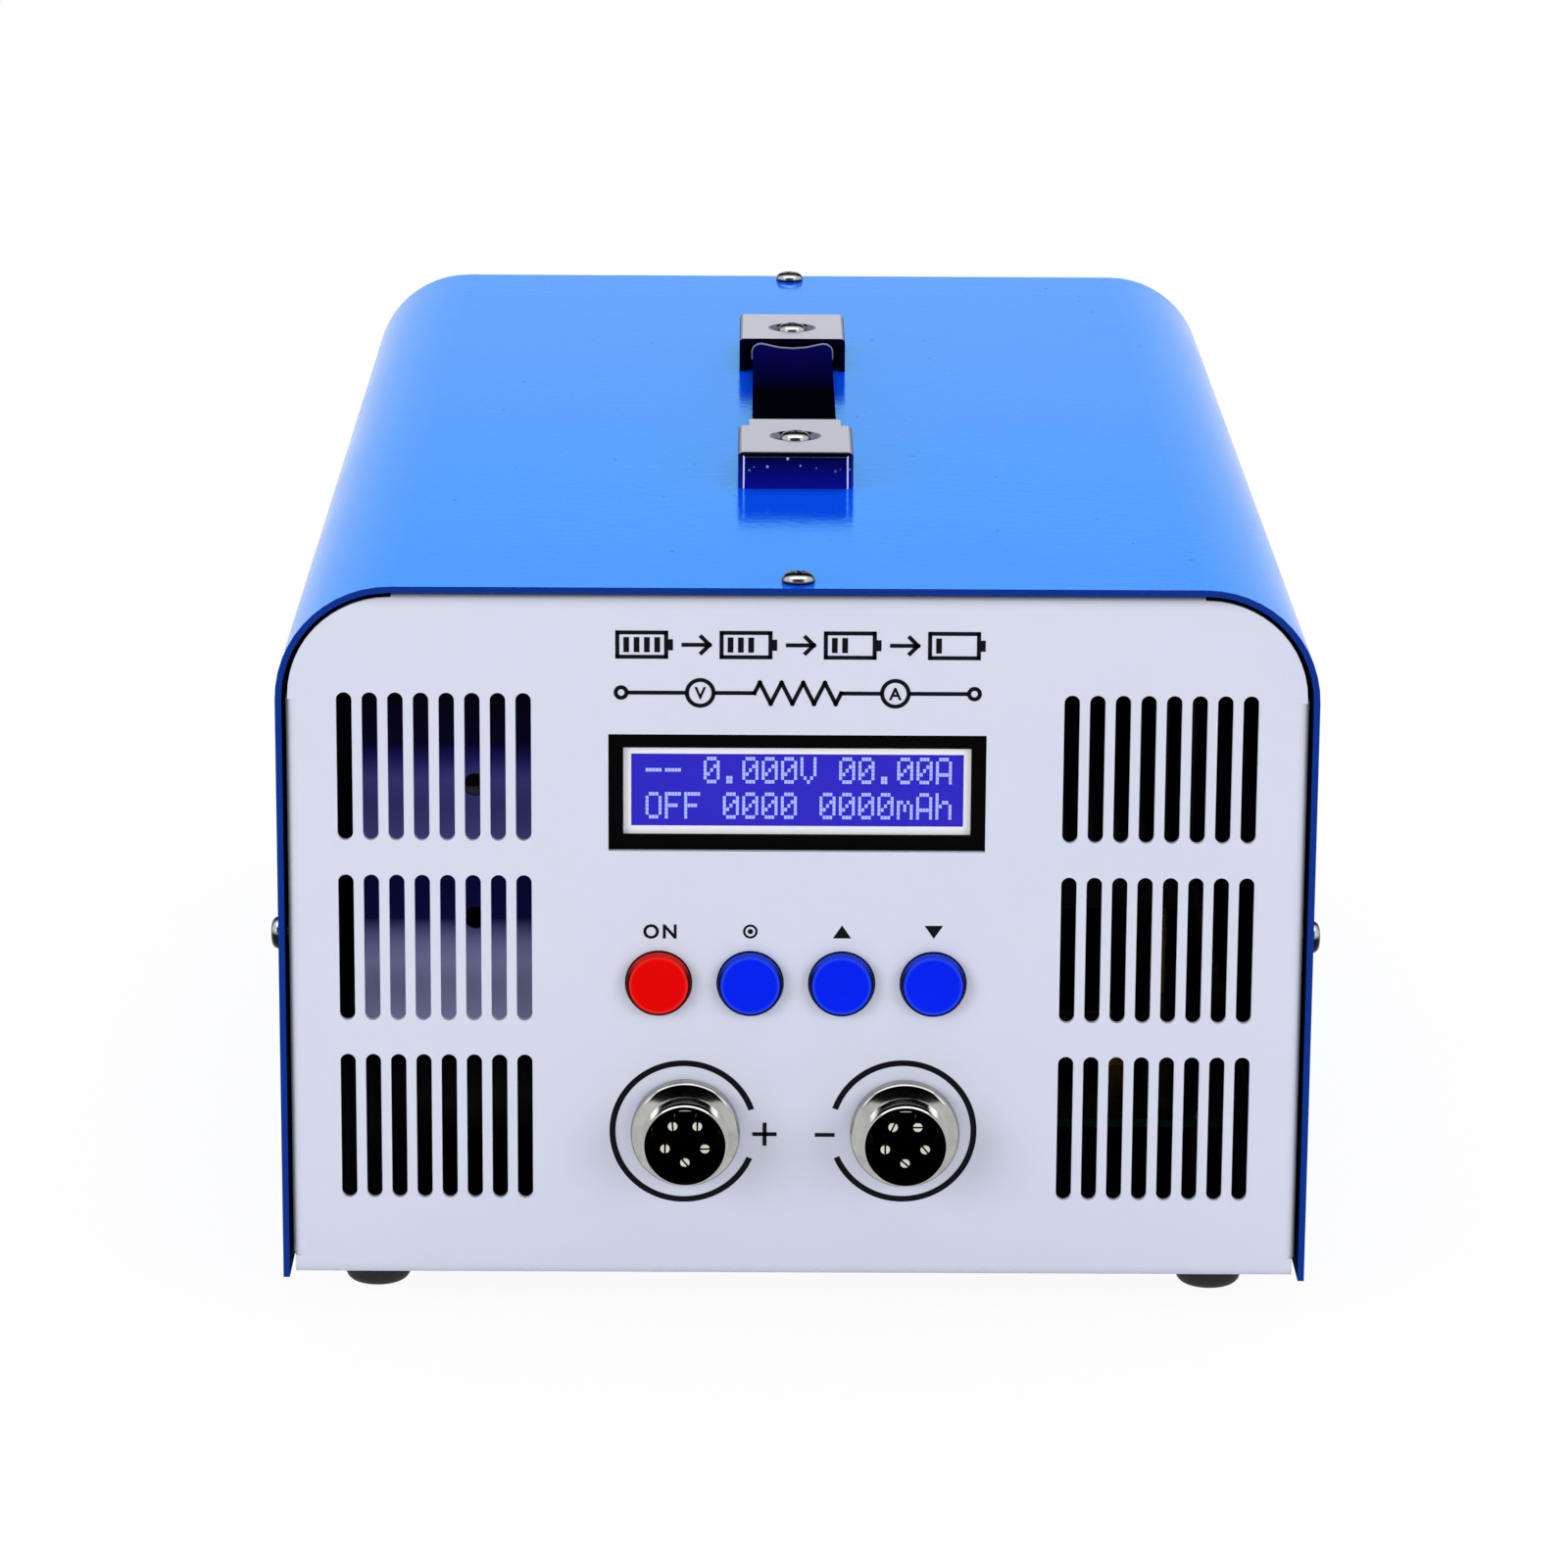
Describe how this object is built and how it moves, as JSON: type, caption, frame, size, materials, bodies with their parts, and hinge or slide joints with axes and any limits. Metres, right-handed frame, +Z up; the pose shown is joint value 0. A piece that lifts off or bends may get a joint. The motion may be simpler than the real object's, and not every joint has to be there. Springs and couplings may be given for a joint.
{
  "type": "battery capacity tester",
  "caption": "Bench battery capacity tester: vented steel case with a blue cover, carrying strap, character display, push buttons, round lead sockets, fan and fused mains inlet.",
  "frame": {"origin": "centre of the footprint, on the surface that the feet stand on", "axes": "+X to the right seen from the front, +Y from the front panel to the rear panel, +Z up"},
  "size_m": [0.1968, 0.338, 0.1477],
  "materials": {
    "panel_paint": "satin powder coat",
    "cover_paint": "glossy powder coat with a fine orange peel",
    "plated_steel": "bright nickel plate",
    "screw_steel": "zinc plated",
    "foot_rubber": "matt",
    "strap_vinyl": "soft satin",
    "display_metal": "black semi-gloss",
    "display_face": "lit blue screen",
    "circuit_board": "solder mask",
    "nylon": "moulded",
    "switch_plastic": "moulded",
    "button_red": "moulded gloss",
    "button_blue": "moulded gloss",
    "contact_plate": "plated",
    "brass": "turned",
    "insulator": "moulded",
    "lead_red": "insulation",
    "lead_black": "insulation",
    "cable_grey": "ribbon",
    "sink_black": "black anodised",
    "package_black": "moulded",
    "capacitor_sleeve": "shrunk sleeve",
    "shunt_alloy": "rolled",
    "supply_metal": "plain sheet",
    "bracket_metal": "zinc plated",
    "fan_plastic": "moulded",
    "guard_wire": "plated wire",
    "inlet_plastic": "moulded",
    "fuse_glass": "glass tube with plated caps",
    "rocker_red": "moulded"
  },
  "bodies": {
    "case": {"chassis": "panel_paint", "cover": "cover_paint", "cover_screws": "screw_steel", "feet": "foot_rubber", "foot_screws": "screw_steel", "handle_cap_front": "plated_steel", "handle_cap_rear": "plated_steel", "handle_screws": "plated_steel", "handle_nuts": "screw_steel", "strap_end_front": "strap_vinyl", "display_frame": "display_metal", "display_glass": "display_face", "display_board": "circuit_board", "display_spacers": "nylon", "display_screws": "screw_steel", "control_board": "circuit_board", "control_spacers": "nylon", "small_nuts": "screw_steel", "control_cable": "cable_grey", "switch_bodies": "switch_plastic", "socket_shell_positive": "plated_steel", "socket_insert_positive": "insulator", "socket_pins_positive": "contact_plate", "socket_shell_negative": "plated_steel", "socket_insert_negative": "insulator", "socket_pins_negative": "contact_plate", "socket_nuts": "plated_steel", "lead_positive": "lead_red", "lead_negative": "lead_black", "supply_wires": "lead_red", "power_terminals": "brass", "load_board": "circuit_board", "board_pillars": "brass", "board_screws": "screw_steel", "heatsink": "sink_black", "sink_pillars": "brass", "transistors": "package_black", "capacitors": "capacitor_sleeve", "current_shunt": "shunt_alloy", "psu_case": "supply_metal", "psu_cover": "supply_metal", "psu_terminals": "insulator", "psu_bracket": "bracket_metal", "fan_frame": "fan_plastic", "fan_guard": "guard_wire", "fan_screws": "screw_steel", "inlet_housing": "inlet_plastic", "inlet_blades": "contact_plate", "inlet_screws": "screw_steel"},
    "button_on": {"button_on": "button_red"},
    "button_set": {"button_set": "button_blue"},
    "button_up": {"button_up": "button_blue"},
    "button_down": {"button_down": "button_blue"},
    "fan_rotor": {"fan_rotor": "fan_plastic"},
    "power_rocker": {"power_rocker": "rocker_red"},
    "fuse_drawer": {"fuse_drawer": "inlet_plastic", "fuse": "fuse_glass"},
    "strap_front": {"strap_link_front": "strap_vinyl"},
    "strap_rear": {"strap_link_rear": "strap_vinyl"},
    "strap_slider": {"strap_end_rear": "strap_vinyl"}
  },
  "joints": [
    {"name": "button_on_press", "type": "slide", "parent": "case", "child": "button_on", "axis": [0, 1, 0], "range_m": [0, 0.0004], "stiffness_N_per_m": 2000},
    {"name": "button_set_press", "type": "slide", "parent": "case", "child": "button_set", "axis": [0, 1, 0], "range_m": [0, 0.0004], "stiffness_N_per_m": 2000},
    {"name": "button_up_press", "type": "slide", "parent": "case", "child": "button_up", "axis": [0, 1, 0], "range_m": [0, 0.0004], "stiffness_N_per_m": 2000},
    {"name": "button_down_press", "type": "slide", "parent": "case", "child": "button_down", "axis": [0, 1, 0], "range_m": [0, 0.0004], "stiffness_N_per_m": 2000},
    {"name": "fan_spin", "type": "hinge", "parent": "case", "child": "fan_rotor", "pos_m": [0.044, 0.14973, 0.076], "axis": [0, 1, 0], "continuous": true},
    {"name": "power_switch", "type": "hinge", "parent": "case", "child": "power_rocker", "pos_m": [-0.056, 0.16358, 0.0727], "axis": [1, 0, 0], "range_deg": [-20, 0]},
    {"name": "fuse_drawer_pull", "type": "slide", "parent": "case", "child": "fuse_drawer", "axis": [0, 1, 0], "range_m": [0, 0.014]},
    {"name": "strap_lift", "type": "hinge", "parent": "case", "child": "strap_front", "pos_m": [0, -0.03677, 0.1424], "axis": [1, 0, 0], "range_deg": [0, 20]},
    {"name": "strap_bend", "type": "hinge", "parent": "strap_front", "child": "strap_rear", "pos_m": [0, 0.00198, 0.1424], "axis": [1, 0, 0], "range_deg": [-40.5, 0.5]},
    {"name": "strap_slide", "type": "hinge", "parent": "strap_rear", "child": "strap_slider", "pos_m": [0, 0.04073, 0.1424], "axis": [1, 0, 0], "range_deg": [-0.5, 20.5]}
  ],
  "couplings": [
    {"joint": "strap_bend", "follows": "strap_lift", "ratio": -2},
    {"joint": "strap_slide", "follows": "strap_lift", "ratio": 1}
  ]
}
